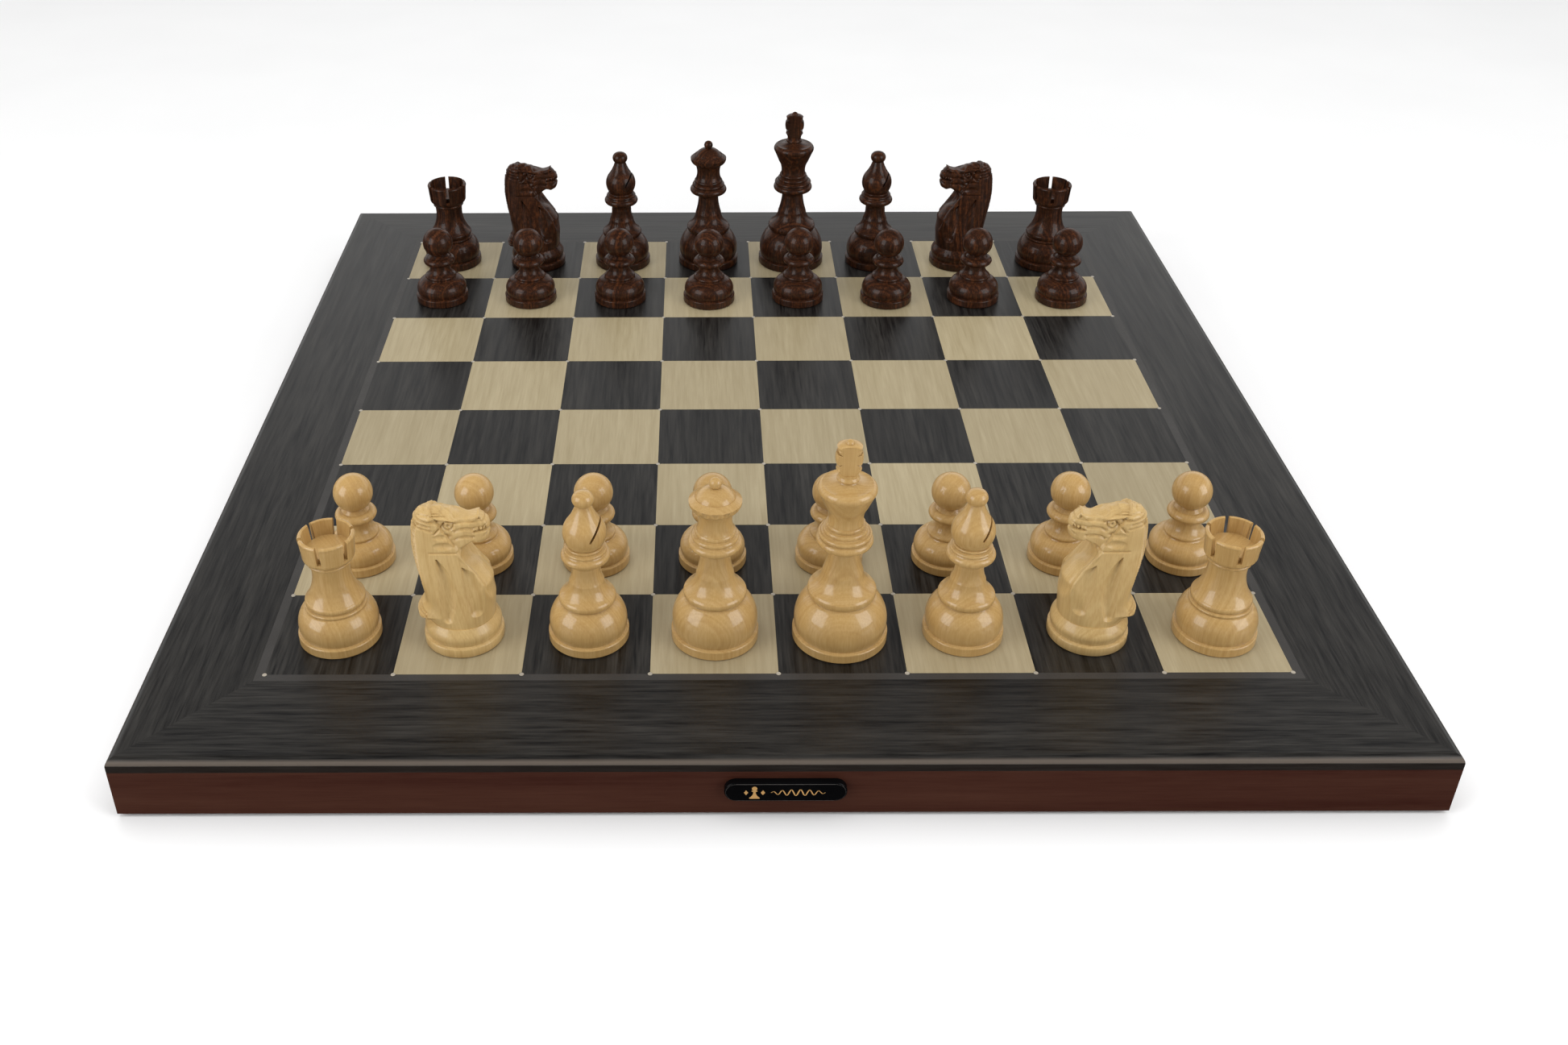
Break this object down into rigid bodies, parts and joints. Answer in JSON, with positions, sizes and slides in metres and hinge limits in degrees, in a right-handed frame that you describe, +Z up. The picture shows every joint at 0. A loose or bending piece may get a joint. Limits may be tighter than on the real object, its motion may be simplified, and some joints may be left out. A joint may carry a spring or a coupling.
{
  "type": "electronic chess computer",
  "caption": "Wooden electronic chess computer: a sensor board with a light at each square corner, a wide dark border, reddish-brown sides and a full set of turned wooden men.",
  "frame": {"origin": "middle of the plane that the feet stand on, under the middle of the playing field", "axes": "+X from the a-file to the h-file, +Y from White's side (the front, with the badge) to Black's side, +Z up"},
  "size_m": [0.544, 0.5485, 0.1324],
  "materials": {
    "dark_veneer": "open-grained dark grey-brown veneer, satin",
    "light_veneer": "pale close-grained veneer, satin",
    "line_wood": "thin plain dark stringing, satin",
    "side_wood": "stained reddish-brown wood, satin lacquer",
    "core_panel": "fibreboard panel, unfinished",
    "batten_wood": "planed softwood strip",
    "white_men_wood": "boxwood-coloured, glossy lacquer",
    "black_men_wood": "rosewood-coloured, glossy lacquer",
    "felt": "thin dark green felt",
    "cover_plate": "black plate with a fine grain",
    "screw_steel": "zinc-plated steel",
    "foot_rubber": "matt black rubber",
    "badge_black": "polished black plate",
    "badge_gold": "polished gold-coloured motif",
    "light_lens": "milky light pipe",
    "light_chip": "encapsulated light chip",
    "circuit_board": "green solder mask",
    "copper_track": "copper track",
    "chip_black": "moulded chip case",
    "ribbon_film": "flat cable film",
    "panel_plastic": "fine-textured black plastic",
    "socket_steel": "stamped steel shell",
    "button_plastic": "smooth dark plastic"
  },
  "bodies": {
    "board": {"border_front": "dark_veneer", "border_right": "dark_veneer", "border_back": "dark_veneer", "border_left": "dark_veneer", "rail_front": "side_wood", "rail_right": "side_wood", "rail_back": "side_wood", "rail_left": "side_wood", "dark_squares": "dark_veneer", "light_squares": "light_veneer", "inlay_line": "line_wood", "field_core": "core_panel", "bottom_cover": "cover_plate", "cover_screws": "screw_steel", "rubber_feet": "foot_rubber", "name_badge": "badge_black", "led_lenses": "light_lens", "led_chips": "light_chip", "sensor_board": "circuit_board", "sensor_coils": "copper_track", "support_battens": "batten_wood", "main_board": "circuit_board", "board_chips": "chip_black", "ribbon_cable": "ribbon_film", "socket_panel": "panel_plastic", "usb_socket": "socket_steel", "power_switch": "chip_black"},
    "power_button": {"power_button": "button_plastic"},
    "white_rook_a": {"white_rook_a": "white_men_wood"},
    "white_knight_b": {"white_knight_b": "white_men_wood"},
    "white_bishop_c": {"white_bishop_c": "white_men_wood"},
    "white_queen": {"white_queen": "white_men_wood"},
    "white_king": {"white_king": "white_men_wood"},
    "white_bishop_f": {"white_bishop_f": "white_men_wood"},
    "white_knight_g": {"white_knight_g": "white_men_wood"},
    "white_rook_h": {"white_rook_h": "white_men_wood"},
    "white_pawn_a": {"white_pawn_a": "white_men_wood"},
    "white_pawn_b": {"white_pawn_b": "white_men_wood"},
    "white_pawn_c": {"white_pawn_c": "white_men_wood"},
    "white_pawn_d": {"white_pawn_d": "white_men_wood"},
    "white_pawn_e": {"white_pawn_e": "white_men_wood"},
    "white_pawn_f": {"white_pawn_f": "white_men_wood"},
    "white_pawn_g": {"white_pawn_g": "white_men_wood"},
    "white_pawn_h": {"white_pawn_h": "white_men_wood"},
    "black_rook_a": {"black_rook_a": "black_men_wood"},
    "black_knight_b": {"black_knight_b": "black_men_wood"},
    "black_bishop_c": {"black_bishop_c": "black_men_wood"},
    "black_queen": {"black_queen": "black_men_wood"},
    "black_king": {"black_king": "black_men_wood"},
    "black_bishop_f": {"black_bishop_f": "black_men_wood"},
    "black_knight_g": {"black_knight_g": "black_men_wood"},
    "black_rook_h": {"black_rook_h": "black_men_wood"},
    "black_pawn_a": {"black_pawn_a": "black_men_wood"},
    "black_pawn_b": {"black_pawn_b": "black_men_wood"},
    "black_pawn_c": {"black_pawn_c": "black_men_wood"},
    "black_pawn_d": {"black_pawn_d": "black_men_wood"},
    "black_pawn_e": {"black_pawn_e": "black_men_wood"},
    "black_pawn_f": {"black_pawn_f": "black_men_wood"},
    "black_pawn_g": {"black_pawn_g": "black_men_wood"},
    "black_pawn_h": {"black_pawn_h": "black_men_wood"}
  },
  "joints": [
    {"name": "button_press", "type": "slide", "parent": "board", "child": "power_button", "axis": [0, -1, 0], "range_m": [0, 0.001], "stiffness_N_per_m": 400},
    {"name": "lift_white_rook_a", "type": "slide", "parent": "board", "child": "white_rook_a", "axis": [0, 0, 1], "range_m": [0, 0.11]},
    {"name": "lift_white_knight_b", "type": "slide", "parent": "board", "child": "white_knight_b", "axis": [0, 0, 1], "range_m": [0, 0.11]},
    {"name": "lift_white_bishop_c", "type": "slide", "parent": "board", "child": "white_bishop_c", "axis": [0, 0, 1], "range_m": [0, 0.11]},
    {"name": "lift_white_queen", "type": "slide", "parent": "board", "child": "white_queen", "axis": [0, 0, 1], "range_m": [0, 0.11]},
    {"name": "lift_white_king", "type": "slide", "parent": "board", "child": "white_king", "axis": [0, 0, 1], "range_m": [0, 0.11]},
    {"name": "lift_white_bishop_f", "type": "slide", "parent": "board", "child": "white_bishop_f", "axis": [0, 0, 1], "range_m": [0, 0.11]},
    {"name": "lift_white_knight_g", "type": "slide", "parent": "board", "child": "white_knight_g", "axis": [0, 0, 1], "range_m": [0, 0.11]},
    {"name": "lift_white_rook_h", "type": "slide", "parent": "board", "child": "white_rook_h", "axis": [0, 0, 1], "range_m": [0, 0.11]},
    {"name": "lift_white_pawn_a", "type": "slide", "parent": "board", "child": "white_pawn_a", "axis": [0, 0, 1], "range_m": [0, 0.11]},
    {"name": "lift_white_pawn_b", "type": "slide", "parent": "board", "child": "white_pawn_b", "axis": [0, 0, 1], "range_m": [0, 0.11]},
    {"name": "lift_white_pawn_c", "type": "slide", "parent": "board", "child": "white_pawn_c", "axis": [0, 0, 1], "range_m": [0, 0.11]},
    {"name": "lift_white_pawn_d", "type": "slide", "parent": "board", "child": "white_pawn_d", "axis": [0, 0, 1], "range_m": [0, 0.11]},
    {"name": "lift_white_pawn_e", "type": "slide", "parent": "board", "child": "white_pawn_e", "axis": [0, 0, 1], "range_m": [0, 0.11]},
    {"name": "lift_white_pawn_f", "type": "slide", "parent": "board", "child": "white_pawn_f", "axis": [0, 0, 1], "range_m": [0, 0.11]},
    {"name": "lift_white_pawn_g", "type": "slide", "parent": "board", "child": "white_pawn_g", "axis": [0, 0, 1], "range_m": [0, 0.11]},
    {"name": "lift_white_pawn_h", "type": "slide", "parent": "board", "child": "white_pawn_h", "axis": [0, 0, 1], "range_m": [0, 0.11]},
    {"name": "lift_black_rook_a", "type": "slide", "parent": "board", "child": "black_rook_a", "axis": [0, 0, 1], "range_m": [0, 0.11]},
    {"name": "lift_black_knight_b", "type": "slide", "parent": "board", "child": "black_knight_b", "axis": [0, 0, 1], "range_m": [0, 0.11]},
    {"name": "lift_black_bishop_c", "type": "slide", "parent": "board", "child": "black_bishop_c", "axis": [0, 0, 1], "range_m": [0, 0.11]},
    {"name": "lift_black_queen", "type": "slide", "parent": "board", "child": "black_queen", "axis": [0, 0, 1], "range_m": [0, 0.11]},
    {"name": "lift_black_king", "type": "slide", "parent": "board", "child": "black_king", "axis": [0, 0, 1], "range_m": [0, 0.11]},
    {"name": "lift_black_bishop_f", "type": "slide", "parent": "board", "child": "black_bishop_f", "axis": [0, 0, 1], "range_m": [0, 0.11]},
    {"name": "lift_black_knight_g", "type": "slide", "parent": "board", "child": "black_knight_g", "axis": [0, 0, 1], "range_m": [0, 0.11]},
    {"name": "lift_black_rook_h", "type": "slide", "parent": "board", "child": "black_rook_h", "axis": [0, 0, 1], "range_m": [0, 0.11]},
    {"name": "lift_black_pawn_a", "type": "slide", "parent": "board", "child": "black_pawn_a", "axis": [0, 0, 1], "range_m": [0, 0.11]},
    {"name": "lift_black_pawn_b", "type": "slide", "parent": "board", "child": "black_pawn_b", "axis": [0, 0, 1], "range_m": [0, 0.11]},
    {"name": "lift_black_pawn_c", "type": "slide", "parent": "board", "child": "black_pawn_c", "axis": [0, 0, 1], "range_m": [0, 0.11]},
    {"name": "lift_black_pawn_d", "type": "slide", "parent": "board", "child": "black_pawn_d", "axis": [0, 0, 1], "range_m": [0, 0.11]},
    {"name": "lift_black_pawn_e", "type": "slide", "parent": "board", "child": "black_pawn_e", "axis": [0, 0, 1], "range_m": [0, 0.11]},
    {"name": "lift_black_pawn_f", "type": "slide", "parent": "board", "child": "black_pawn_f", "axis": [0, 0, 1], "range_m": [0, 0.11]},
    {"name": "lift_black_pawn_g", "type": "slide", "parent": "board", "child": "black_pawn_g", "axis": [0, 0, 1], "range_m": [0, 0.11]},
    {"name": "lift_black_pawn_h", "type": "slide", "parent": "board", "child": "black_pawn_h", "axis": [0, 0, 1], "range_m": [0, 0.11]}
  ]
}
